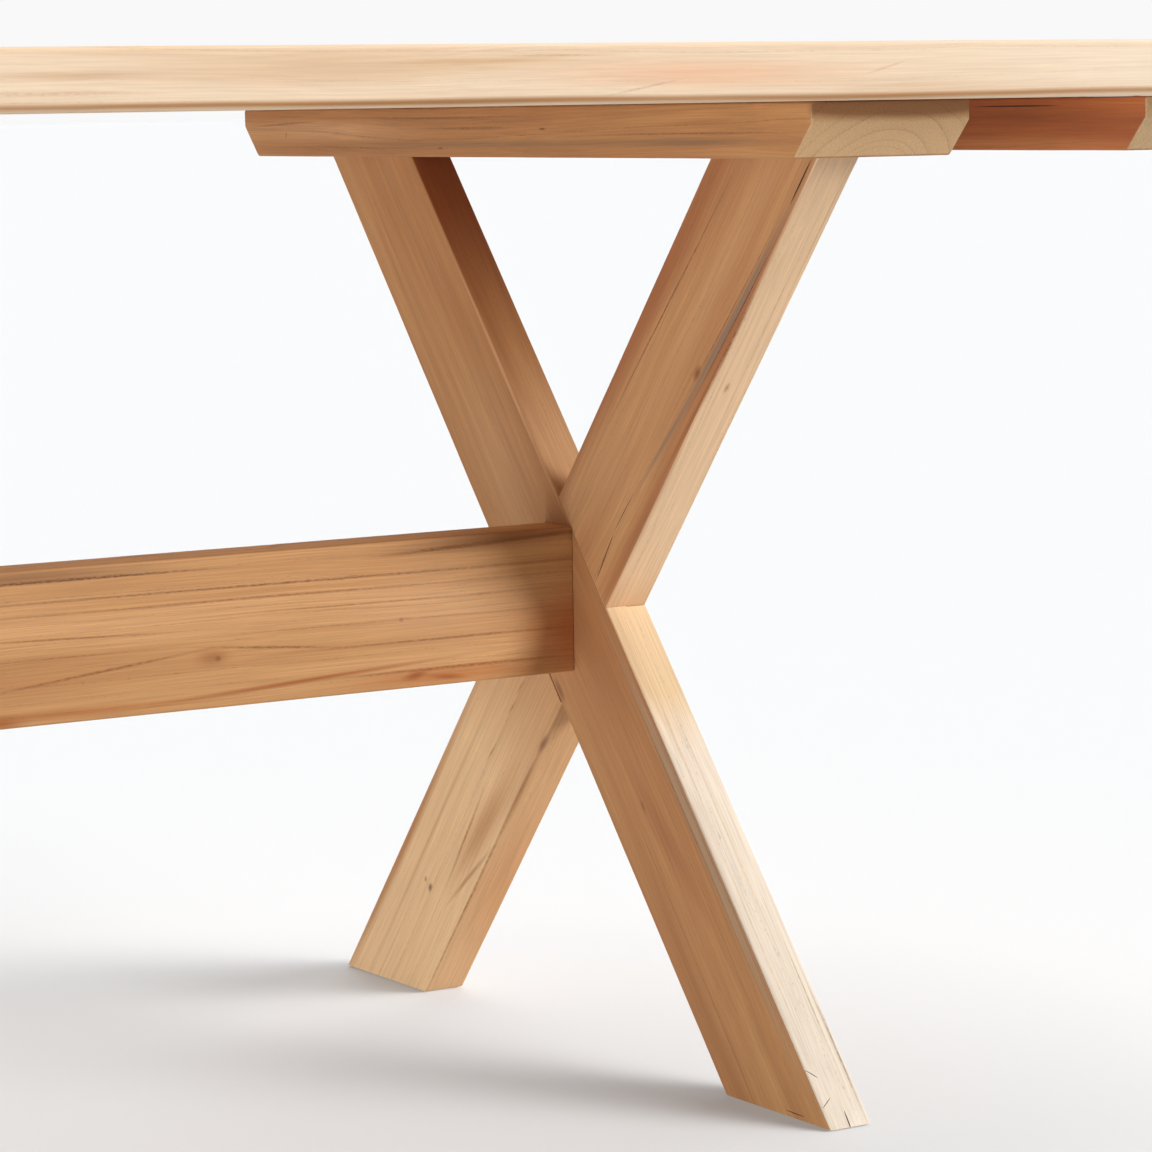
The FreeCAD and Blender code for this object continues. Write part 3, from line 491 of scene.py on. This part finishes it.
# How the wood looks of each board that the photo shows.
LEVEL = (0, 0, 0)
looks = {
    "front_plank_3": dict(
        tones=("#FCE3C5", "#F6D9B9", "#EBC8A4"), pith=(40, -160), ring_mm=15, line="#CFA074", line_depth=0.25,
        pores=0.06, fibres=0.09, seed=3.1,
        marks=[
            ((950, -78, 0), (330, 40, 40), LEVEL, "#FFEAD0", 0.8),
            ((560, -78, -1), (170, 30, 13), LEVEL, "#F6C6A2", 0.9),
            ((280, -78, 4), (180, 30, 12), LEVEL, "#E6C19B", 0.7),
            ((133, -78, 2), (80, 20, 4), LEVEL, "#DDB48C", 0.7),
            ((120, -78, -8), (90, 20, 2), LEVEL, "#DDB48C", 0.6),
            ((400, -78, 8), (90, 20, 3), LEVEL, "#DDB284", 0.7),
            ((455, -78, 11), (50, 20, 1.2), LEVEL, "#C79A6C", 0.5),
            ((705, -78, 2), (26, 20, 1.2), (0, -14, 0), "#CFA078", 0.4),
            ((520, -78, -9), (40, 20, 1.2), (0, -10, 0), "#A89A86", 0.35),
            # Painted shade: dark lines along the lower roundover, which turns down away from the light.
            ((500, -77, -15.6), (1800, 5, 3.4), LEVEL, "#B27B48", 1.0),
            ((400, -77, -15.8), (180, 4, 2.6), LEVEL, "#96704A", 0.5),
        ],
    ),
    "right_top_rail": dict(
        tones=("#C7945F", "#B98453", "#A67145"), pith=(-8, -52), ring_mm=8, line_depth=0.5, seed=5.2,
        end_tone="#ECC493",
        marks=[
            ((0, 66, -8), (420, 20, 4.5), LEVEL, "#96714E", 0.9),
            ((250, 66, 2), (190, 20, 12), LEVEL, "#CE9F74", 0.8),
            ((-250, 66, -8), (160, 20, 5), LEVEL, "#94704E", 0.9),
            ((332, 66, 7), (80, 20, 1.2), (0, 2.4, 0), "#785236", 0.6),
            ((100, 66, 12), (200, 20, 1.3), LEVEL, "#80583A", 0.8),
            ((-250, 66, -2), (180, 20, 1.4), LEVEL, "#785236", 0.6),
            ((220, 66, -11), (140, 20, 1.2), LEVEL, "#785236", 0.5),
            ((40, 66, 4), (90, 20, 1.6), LEVEL, "#845A3A", 0.8),
            ((-64, 66, 3), (7, 8, 1.3), LEVEL, "#6E4226", 1.0),
            ((83, 66, -11), (6, 8, 1.1), LEVEL, "#6E4226", 0.9),
            ((328, 66, -2), (1.2, 8, 5), LEVEL, "#7A5234", 0.8),
            ((0, 66, -19), (420, 8, 2.6), LEVEL, "#B46A38", 1.0),
            # Painted shade: the front end's upper nose darker, where the plank above overhangs it.
            ((-402, 0, 15), (9, 160, 12), LEVEL, "#A87A52", 2.0),
        ],
    ),
    "right_end_batten": dict(
        tones=("#C67C44", "#B26637", "#9A532B"), pith=(-30, -80), ring_mm=9, seed=9.4,
        marks=[
            ((-250, 66, -14), (200, 30, 8), LEVEL, "#C88652", 0.7),
            ((-250, 66, 6), (60, 30, 3), LEVEL, "#8A4A2A", 0.6),
        ],
    ),
    "right_front_leg": dict(
        tones=("#C7945F", "#BB8655", "#AC7648"), pith=(-150, 50), ring_mm=11, line_depth=0.2, seed=1.7,
        edge=[
            # Its side face: pale sapwood towards the foot and the crossing, made paler as a painted highlight
            # where the key lamp lights it, and darker and redder towards the top as painted shade under the
            # tabletop.
            ((-330, 50, 0), (400, 90, 90), LEVEL, "#FFF0DC", 2.5),
            ((-50, 50, 0), (130, 90, 90), LEVEL, "#F8D8AC", 2.0),
            ((410, 50, 0), (270, 90, 90), LEVEL, "#A4603A", 1.0),
            ((110, 50, 0), (110, 90, 90), LEVEL, "#D2A478", 0.8),
        ],
        marks=[
            ((-230, 42.5, -18), (260, 9, 8), LEVEL, "#B39273", 1.2),
            ((-220, 38, -18), (240, 1.5, 14), LEVEL, "#8A6444", 0.8),
            ((-250, 46, -18), (220, 1.2, 14), LEVEL, "#8A6C52", 0.7),
            ((-210, 6, -18), (110, 14, 20), (0, 0, -6), "#A66C43", 0.7),
            ((-177, -5, -18), (8, 3, 8), LEVEL, "#8A5636", 0.7),
            ((-300, -20, -18), (200, 1.4, 14), LEVEL, "#9A6840", 0.6),
            ((-250, 22, -18), (230, 1.2, 14), LEVEL, "#9A6840", 0.6),
            ((-420, 50, 15), (70, 8, 1.6), LEVEL, "#B09C84", 0.9),
            ((-380, 50, 10), (70, 8, 0.9), LEVEL, "#D2B894", 0.8),
            ((-250, 50, 2), (190, 8, 1.4), LEVEL, "#E6C69C", 0.5),
            ((-150, 50, -8), (120, 8, 1.8), LEVEL, "#E3BE90", 0.5),
            ((-330, 50, -10), (150, 8, 1.2), LEVEL, "#E2C49E", 0.5),
            ((-48, -45, -18), (16, 5, 8), LEVEL, "#86523A", 0.9),
            ((-60, 10, -18), (110, 60, 30), LEVEL, "#A06A40", 0.6),
            # Painted highlight: a pale line along the arris between the inner face and the side face.
            ((170, 49, -18), (170, 2.6, 2.6), LEVEL, "#E2B082", 0.9),
            ((350, 12, -18), (200, 7, 30), LEVEL, "#AE7A50", 0.6),
            ((250, -25, -18), (220, 8, 30), LEVEL, "#C99660", 0.5),
            ((120, 0, -18), (150, 60, 30), LEVEL, "#D5A67A", 0.5),
        ],
    ),
    "right_back_leg": dict(
        tones=("#D09E6B", "#C49060", "#B68052"), pith=(-140, 60), ring_mm=12, line="#A26B3C", line_depth=0.24,
        seed=7.9,
        edge=[
            ((290, 50, 0), (380, 90, 90), LEVEL, "#F3CDA4", 2.5),
            ((-260, 50, 0), (420, 90, 90), LEVEL, "#D39D6B", 1.6),
        ],
        marks=[
            ((330, 50, 6), (200, 9, 1.6), LEVEL, "#D3A67A", 0.45),
            ((260, 50, -9), (240, 9, 1.4), LEVEL, "#D8AE82", 0.4),
            ((400, 50, 13), (120, 9, 1.2), LEVEL, "#D0A074", 0.4),
            ((-330, -10, 0), (340, 200, 200), LEVEL, "#F1C898", 1.8),
            ((260, -46, -18), (380, 24, 40), (0, 0, 2.9), "#A96B40", 1.0),
            ((280, -26, -18), (200, 1.4, 30), (0, 0, 2.6), "#7E4C2A", 0.8),
            ((320, 8, -18), (260, 14, 20), (0, 0, 2.6), "#D2A274", 0.6),
            ((330, 46, -18), (180, 8, 4), (0, 0, 2.6), "#A8683C", 0.8),
            ((130, 45, -18), (140, 7, 4), (0, 0, 1), "#A0603A", 0.7),
            ((320, 40, -18), (165, 5.2, 8), (0, 0, 2.8), "#957860", 1.2),
            ((200, 31.5, -18), (85, 3.2, 8), (0, 0, 4.8), "#97785F", 1.0),
            ((330, 49, -18), (180, 2.2, 3), (0, 0, 1.6), "#96562A", 0.9),
            ((230, 46, -18), (100, 3, 4), (0, 0, 2.2), "#A0623A", 0.8),
            ((320, 35.4, -18), (150, 1.1, 8), (0, 0, 3), "#946038", 0.9),
            ((330, 43.6, -18), (130, 1.0, 8), (0, 0, 2.6), "#5E4438", 1.0),
            ((264, 31, -18), (10, 5, 8), LEVEL, "#8E5A34", 1.0),
            ((265, 50, -3), (7, 6, 3), LEVEL, "#C0885C", 0.9),
            ((110, 0, -18), (120, 60, 30), LEVEL, "#D2A272", 0.5),
            ((-320, -47, -18), (260, 9, 30), LEVEL, "#BE8654", 1.0),
            ((-280, -22, -18), (220, 3, 20), LEVEL, "#D6A878", 0.8),
            ((-215, 30, -18), (105, 18, 12), (0, 0, 4), "#CF9C6C", 1.0),
            ((-245, 16, -18), (80, 2.4, 12), (0, 0, -4), "#B47E4E", 0.8),
            ((-267, 39, -18), (62, 3.0, 12), (0, 0, 12.5), "#B47E4E", 0.8),
            ((-150, 50, -17), (80, 3.4, 6), (0, 0, 1), "#A06C44", 0.9),
            ((-103, 50, -17), (16, 4, 6), LEVEL, "#80543A", 0.9),
            ((-320, 3, -18), (6, 4, 6), LEVEL, "#80583A", 1.0),
            ((-320, -6, -18), (4, 3, 4), LEVEL, "#A87850", 0.8),
            ((-90, 2, -18), (12, 1.4, 4), (0, 0, 8), "#B47642", 0.9),
            ((-111, 3, -18), (12, 1.4, 4), (0, 0, 8), "#B47642", 0.9),
            ((-162, 3, -18), (16, 1.4, 4), (0, 0, 6), "#B47642", 0.8),
            ((-400, 52, -18), (160, 2, 3), LEVEL, "#A8764A", 0.8),
            ((-300, 50.6, 2), (360, 2.6, 60), LEVEL, "#DDA471", 1.3),
            ((-300, 49.6, -17.6), (260, 1.8, 2.4), LEVEL, "#9C6634", 0.7),
        ],
    ),
    "stretcher": dict(
        tones=("#D39F6B", "#C8945F", "#B98350"), pith=(-190, -30), ring_mm=7, line_depth=0.45, seed=2.6,
        marks=[
            ((300, 49, 20), (150, 7, 30), LEVEL, "#96683E", 1.0),
            ((330, 45, 20), (170, 1.6, 30), LEVEL, "#744826", 1.2),
            ((680, 48, 20), (120, 2.4, 30), (0, 0, 2.4), "#643A1C", 1.5),
            ((690, 50, 20), (150, 9, 30), (0, 0, 1.5), "#8E5A2E", 0.9),
            # Painted shade: the top face's front edge darker, under the tabletop.
            ((520, 55.5, 20), (420, 3.2, 8), LEVEL, "#8A5830", 1.1),
            ((510, 30.5, 20), (420, 1.6, 30), LEVEL, "#8A582E", 0.85),
            ((510, 21.5, 20), (420, 1.5, 30), LEVEL, "#925E32", 0.75),
            ((500, 26, 20), (300, 3.5, 30), LEVEL, "#B8804A", 0.5),
            ((610, 10.5, 20), (200, 1.2, 30), LEVEL, "#9A6434", 0.9),
            ((560, -2, 20), (220, 1.6, 30), (0, 0, 0.6), "#D8AC7C", 0.3),
            ((600, -4, 20), (240, 1.2, 30), LEVEL, "#9E6838", 0.7),
            ((330, 4, 20), (120, 1.2, 30), (0, 0, -1.5), "#9E6838", 0.9),
            ((330, -9, 20), (120, 1.2, 30), LEVEL, "#A06A3A", 0.8),
            ((358, -21.5, 20), (125, 1.7, 30), (0, 0, 6), "#905A2C", 0.9),
            ((495, -15.5, 20), (85, 1.6, 30), (0, 0, -4.5), "#905A2C", 0.9),
            ((645, -20.5, 20), (190, 1.6, 30), LEVEL, "#8E582C", 0.9),
            ((520, -42, 20), (170, 3.0, 30), (0, 0, 3), "#A05C28", 1.0),
            ((650, -43, 20), (140, 2.2, 30), LEVEL, "#985626", 1.0),
            ((640, -49, 20), (130, 9, 30), LEVEL, "#BC7438", 0.8),
            ((613, -47, 20), (16, 5, 10), (0, 0, 10), "#A0541F", 1.0),
            ((640, -50, 20), (24, 3.4, 10), (0, 0, -5), "#A0541F", 0.9),
            ((281, -50, 20), (28, 7, 20), LEVEL, "#9E5A26", 1.0),
            ((340, -48, 20), (150, 5, 20), LEVEL, "#B06E36", 0.8),
            ((602, -4, 20), (3.2, 2.4, 4), LEVEL, "#80481F", 1.0),
            ((640, 5, 20), (130, 40, 30), LEVEL, "#D8AA7E", 0.4),
            ((447, -19, 20), (20, 9, 10), LEVEL, "#A66C38", 0.9),
            ((451, -20, 20), (4, 3, 6), LEVEL, "#7C4E26", 0.8),
            # Painted shade: the right end darker and redder, where the near leg shades it.
            ((752, -25, 20), (60, 50, 30), LEVEL, "#BC6832", 0.85),
        ],
    ),
}
# What a board has where its own look says nothing else, and what the planks have. Each board's seed is a step
# on from the last one's.
DEFAULT_LOOK = dict(tones=("#D0A06C", "#C3905E", "#B37E50"), pith=(25, -80), ring_mm=10)
PALE_PLANK = dict(
    tones=("#F6DCBE", "#EED0AE", "#E0BC96"), line="#C79A6C", ring_mm=15, pores=0.1, fibres=0.11, gloss=0.2,
)
FIRST_SEED, SEED_STEP = 10, 3.7

# Drying checks and chips: two ends and the way that the face looks, in the board's axes, and a width and
# depth, in millimetres. The painted shade inside a check reaches by these shares of its width and depth.
CHECK_SHADE_WIDTH, CHECK_SHADE_DEPTH, CHECK_SHADE_STRENGTH = 0.7, 1.5, 5.0
checks = {
    "right_back_leg": [
        ((476, 45, -18), (428, 45, -18), (0, 0, -1), 1.2, 8),
        ((140, 24.5, -18), (96, 23, -18), (0, 0, -1), 0.5, 5),
        ((100, 23, -18), (50, 28, -18), (0, 0, -1), 0.8, 6),
    ],
    "right_front_leg": [
        ((-438, 9, -18), (-456, 30, -18), (0, 0, -1), 0.6, 2),
        ((-428, 50, -18), (-437, 50, -9), (0, 1, 0), 0.6, 2),
        ((-460, 50, -17), (-452, 50, -6), (0, 1, 0), 0.5, 2),
        ((-462, 50, 0), (-482, 50, -1), (0, 1, 0), 0.9, 8),
    ],
    "right_end_batten": [((-200, 66, 13), (-312, 66, 13), (0, 1, 0), 0.9, 9)],
}


def dirt_in(start, end, outward, width, depth):
    """Painted shade that darkens a drying check, as a dark mark that fills it."""
    start, end, outward = Vector(start), Vector(end), Vector(outward)
    along = (end - start).normalized()
    turn = board_frame((start + end) / 2, along, outward.cross(along)).to_euler()
    reach = ((end - start).length / 2, CHECK_SHADE_WIDTH * width, CHECK_SHADE_DEPTH * depth)
    return (start + end) / 2, reach, [math.degrees(angle) for angle in turn], "#3E2617", CHECK_SHADE_STRENGTH


def is_any_edge(middle, way):
    """A test that every edge passes."""
    return True


# One plank, and its five copies.
plank = blank("plank", PLANK_SIZE)
ease(plank, TOP_ARRIS, lambda middle, way: along_grain(middle, way) and middle.z > 0)
ease(plank, UNDER_ARRIS, lambda middle, way: along_grain(middle, way) and middle.z < 0)
ease(plank, ARRIS, lambda middle, way: abs(middle.x) > PLANK_SIZE.x / 2 - ARRIS / 2, steps=3)
divide(plank, PLANK_STRETCH)
sand(plank)

# One batten with its noses bevelled underneath, for the end and middle battens and the rails.
batten = blank("batten", BATTEN_SIZE)
bevel_drop = BATTEN_SIZE.z - NOSE_HEIGHT
for end in (-1, 1):
    corner = Vector((end * BATTEN_SIZE.x / 2, 0, BATTEN_SIZE.z / 2 - NOSE_HEIGHT))
    saw(batten, corner, Vector((end * bevel_drop, 0, -BEVEL_LENGTH)).normalized())
ease(batten, ARRIS, is_any_edge, steps=3)
divide(batten, BOARD_STRETCH)
sand(batten)

# One leg bar, sawn level at its foot and its top once it leans.
leg_slant = math.hypot(leg_run, leg_rise)
bar = blank("leg", (leg_slant + LEG_SPARE, LEG_WIDTH, LEG_THICKNESS))
ease(bar, ARRIS, along_grain)
divide(bar, LEG_STRETCH)
sand(bar)

# The stretcher, its ends eased just enough to leave a fine line at the joint.
stretcher_length = stretcher_high.x - stretcher_low.x
stretcher = blank("stretcher_board", (stretcher_length, STRETCHER_HEIGHT, STRETCHER_THICKNESS))
ease(stretcher, ARRIS, along_grain)
ease(stretcher, JOINT_ARRIS, lambda middle, way: abs(middle.x) > stretcher_high.x - HAIR, steps=1)
divide(stretcher, BOARD_STRETCH)
sand(stretcher)

pieces = {}
for name, place in places.items():
    if "plank" in name:
        pieces[name] = another(plank, name + "_board", place)
    elif "batten" in name or "rail" in name:
        pieces[name] = another(batten, name + "_board", place)
put(stretcher, places["stretcher"])
pieces["stretcher"] = stretcher

# The legs lap at half their thickness. The stretcher's bolts go in from the outer face of the right back leg,
# and of its copy on the left.
for name, way in (("right_front_leg", 1), ("right_back_leg", -1)):
    leg = another(bar, name + "_board", places[name])
    saw(leg, (0, 0, rail_low.z), (0, 0, 1))
    saw(leg, (0, 0, PAD_PROUD), (0, 0, -1))
    ease(leg, SOLE_ARRIS, lambda middle, way: middle.z < PAD_PROUD + HAIR, steps=2)
    lap = blank("lap", (LAP_CUTTER_LENGTH, LEG_WIDTH + 2 * LAP_CLEARANCE, LEG_THICKNESS))
    other = "right_back_leg" if way > 0 else "right_front_leg"
    put(lap, Matrix.Translation((way * LEG_THICKNESS / 2, 0, 0)) @ places[other])
    cut_out(leg, lap)
    if way < 0:
        for rise in (-STRETCHER_BOLT_RISE, STRETCHER_BOLT_RISE):
            mouth = (rail_x + LEG_THICKNESS / 2, 0, stretcher_z + rise)
            drill(leg, mouth, (-1, 0, 0), COUNTERBORE_RADIUS, COUNTERBORE_DEPTH)
    pieces[name] = leg
pieces["left_back_leg"] = another(pieces["right_front_leg"], "left_back_leg_board", HALF_TURN)
pieces["left_front_leg"] = another(pieces["right_back_leg"], "left_front_leg_board", HALF_TURN)

# Counterbores for the rails' bolts, sinks for the battens' screws, and holes for the stretcher's barrel nuts.
for name in ("left_top_rail", "right_top_rail"):
    x = places[name].translation.x
    for row in (-FASTENER_ROW, FASTENER_ROW):
        for line in (-RAIL_BOLT_LINE, RAIL_BOLT_LINE):
            drill(pieces[name], (x + row, line, rail_low.z), (0, 0, 1), COUNTERBORE_RADIUS, COUNTERBORE_DEPTH)
for name in ("left_end_batten", "middle_batten", "right_end_batten"):
    x = places[name].translation.x
    for row in (-FASTENER_ROW, FASTENER_ROW):
        for number in range(3):
            for side in (-1, 1):
                mouth = (x + row, side * (SCREW_LINE + number * PLANK_PITCH), rail_low.z)
                drill(
                    pieces[name], mouth, (0, 0, 1), SCREW_SINK_RADIUS, SCREW_SINK_DEPTH, SCREW_POINT_RADIUS,
                )
for end in (-1, 1):
    for rise in (-STRETCHER_BOLT_RISE, STRETCHER_BOLT_RISE):
        mouth = (end * (stretcher_high.x - NUT_DEPTH), STRETCHER_THICKNESS / 2, stretcher_z + rise)
        drill(stretcher, mouth, (0, -1, 0), NUT_HOLE_RADIUS, NUT_HOLE_REACH)
for used in (plank, batten, bar):
    bpy.data.objects.remove(used)

# Each board gets its checks and its own wood, and stands for its solid.
SMOOTH_ANGLE = math.radians(32)
for number, (name, piece) in enumerate(pieces.items()):
    for check in checks.get(name, ()):
        split(piece, places[name], *check)
    look = dict(DEFAULT_LOOK, seed=FIRST_SEED + SEED_STEP * number)
    if "plank" in name:
        look.update(PALE_PLANK)
    look.update(looks.get(name, {}))
    look["dirt"] = [dirt_in(*check) for check in checks.get(name, ())]
    piece.data.materials.clear()
    piece.data.materials.append(oiled_teak("oiled_teak_" + name, places[name], **look))
    pick(piece)
    bpy.ops.object.shade_smooth_by_angle(angle=SMOOTH_ANGLE)
    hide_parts(name)
    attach(piece, "root")


def small_stuff(name, tones, grain, roughness, metallic=0.0):
    """A turned or moulded small part: a fine mottle that runs along its grain, given in millimetres."""
    material, tree, output = new_material(name)
    coordinates = add(tree, "TexCoord")
    stretched = add(tree, "VectorMath", {
        0: coordinates.outputs["Object"], 1: [1 / (size * MM) for size in grain],
    }, operation="MULTIPLY")
    mottle = add(tree, "TexNoise", {
        "Vector": stretched.outputs[0], "Scale": 1.0, "Detail": 3.0, "Roughness": 0.6,
    }).outputs[0]
    colour = add(tree, "ValToRGB", {"Fac": mottle})
    set_stops(colour, [(0.3, tones[0]), (0.7, tones[1])])
    rough = add(tree, "MapRange", {"Value": mottle, "To Min": roughness - 0.1, "To Max": roughness + 0.1})
    bump = add(tree, "Bump", {"Height": mottle, "Strength": 0.15, "Distance": 0.05 * MM})
    shader = add(tree, "BsdfPrincipled", {
        "Base Color": colour.outputs[0],
        "Roughness": rough.outputs[0],
        "Normal": bump.outputs[0],
        "Metallic": metallic,
    })
    tree.links.new(shader.outputs[0], output.inputs[0])
    return material


# How coarse the small parts' materials are along X, Y and Z, in millimetres.
TOOL_RINGS, DOWEL_FLECKS, FINE_SPECKS = (1.5, 1.5, 0.3), (6, 0.6, 0.6), (2, 2, 2)
# Stainless steel as rolled and turned: grey, half bright, with fine rings from the tool.
stainless = small_stuff("turned_stainless_steel", ("#A9A7A2", "#C4C2BD"), TOOL_RINGS, 0.32, metallic=1.0)
# Turned brass: yellow, half bright, dulled a little by handling.
brass = small_stuff("turned_brass", ("#B08A48", "#D0AC66"), TOOL_RINGS, 0.34, metallic=1.0)
# Beech dowel: pale and dry, with short flecks along it.
beech = small_stuff("dry_beech", ("#C59F76", "#DDBE98"), DOWEL_FLECKS, 0.7)
# Moulded nylon: nearly black and half matt.
nylon = small_stuff("moulded_nylon", ("#1C1A18", "#2A2724"), FINE_SPECKS, 0.5)
for material, names in (
    (stainless, (
        "plank_screws", "rail_bolts", "rail_washers", "stretcher_bolts", "stretcher_washers", "barrel_nuts",
    )),
    (brass, ("threaded_inserts",)),
    (beech, ("dowels",)),
    (nylon, ("foot_pads",)),
):
    for name in names:
        for holder in bpy.data.objects[name].material_slots:
            holder.material = material

# The floor and the light.
FLOOR_REACH = 400.0
bpy.ops.object.select_all(action="DESELECT")
bpy.ops.mesh.primitive_plane_add(size=FLOOR_REACH, location=(0, 0, 0))
floor = bpy.context.object
floor.name = "floor"
floor.visible_shadow = False


def seen_directly(tree):
    """1 for what the camera sees straight, mirrored or through glass, and 0 for what only lights things."""
    path = add(tree, "LightPath").outputs
    seen = add(tree, "Math", {0: path["Is Camera Ray"], 1: path["Is Glossy Ray"]}, operation="MAXIMUM")
    return add(tree, "Math", {
        0: seen.outputs[0], 1: path["Is Transmission Ray"],
    }, operation="MAXIMUM").outputs[0]


# White paper: matt, with a slight glow where it is seen, and grey to the light that it bounces. It is clear
# from below.
paper, tree, output = new_material("white_paper_floor")
white = add(tree, "BsdfDiffuse", {"Color": linear("#C4C3C3")})
bounce = add(tree, "BsdfDiffuse", {"Color": linear("#868686")})
glow = add(tree, "Emission", {"Color": linear("#EEF9FF"), "Strength": 0.19})
lit = add(tree, "AddShader", {0: white.outputs[0], 1: glow.outputs[0]})
both = add(tree, "MixShader", {0: seen_directly(tree), 1: bounce.outputs[0], 2: lit.outputs[0]})
clear = add(tree, "BsdfTransparent")
surface = add(tree, "NewGeometry")
one_sided = add(tree, "MixShader", {
    0: surface.outputs["Backfacing"], 1: both.outputs[0], 2: clear.outputs[0],
})
tree.links.new(one_sided.outputs[0], output.inputs[0])
paper.cycles.emission_sampling = "NONE"
floor.data.materials.append(paper)

world = bpy.data.worlds.new("studio")
bpy.context.scene.world = world
world.use_nodes = True
world.node_tree.nodes.clear()
fill = add(world.node_tree, "Background", {"Color": linear("#FFFFFF"), "Strength": 0.1})
wall = add(world.node_tree, "Background", {"Color": linear("#F9F9F9"), "Strength": 1.0})
room = add(world.node_tree, "MixShader", {
    0: seen_directly(world.node_tree), 1: fill.outputs[0], 2: wall.outputs[0],
})
add(world.node_tree, "OutputWorld", {"Surface": room.outputs[0]})


def add_lamp(name, towards, strength, spread, floor_is=None):
    """A far lamp as wide as its spread in degrees. Towards points from the table to it. It may light the
    floor alone, or all but the floor."""
    lamp = bpy.data.lights.new(name, "SUN")
    lamp.energy = strength
    lamp.angle = math.radians(spread)
    holder = bpy.data.objects.new(name, lamp)
    holder.rotation_euler = Vector(towards).to_track_quat("Z", "Y").to_euler()
    bpy.context.scene.collection.objects.link(holder)
    if floor_is:
        links = bpy.data.collections.new(name + "_links")
        links.objects.link(floor)
        links.collection_objects[0].light_linking.link_state = floor_is
        holder.light_linking.receiver_collection = links


KEY_SIDE = (0.618, -0.736, 0.276)
add_lamp("key_lamp", KEY_SIDE, strength=2.75, spread=26)
add_lamp("floor_key_lamp", KEY_SIDE, strength=5.5, spread=55, floor_is="INCLUDE")
add_lamp("floor_top_lamp", (0.45, 0.45, 1.0), strength=2.2, spread=60, floor_is="INCLUDE")
add_lamp("top_lamp", (0.05, 0.1, 1.0), strength=1.8, spread=30, floor_is="EXCLUDE")
add_lamp("side_fill", (-0.9, -0.1, -0.4), strength=1.85, spread=60)

# The camera, where the photograph's perspective puts it.
CAMERA_PLACE = (-0.8834, -2.6226, 0.7139)
YAW, PITCH, ROLL = math.radians(57.83), math.radians(6.56), math.radians(-0.92)
SENSOR_WIDTH, FOCAL_LENGTH = 36.0, 128.75
lens = bpy.data.cameras.new("camera")
lens.sensor_width = SENSOR_WIDTH
lens.lens = FOCAL_LENGTH
camera = bpy.data.objects.new("camera", lens)
bpy.context.scene.collection.objects.link(camera)
view_line = Vector((math.cos(YAW) * math.cos(PITCH), math.sin(YAW) * math.cos(PITCH), -math.sin(PITCH)))
camera.location = CAMERA_PLACE
camera.rotation_mode = "QUATERNION"
camera.rotation_quaternion = view_line.to_track_quat("-Z", "Y") @ Quaternion((0, 0, 1), ROLL)
bpy.context.scene.camera = camera
bpy.context.scene.view_settings.view_transform = "Standard"
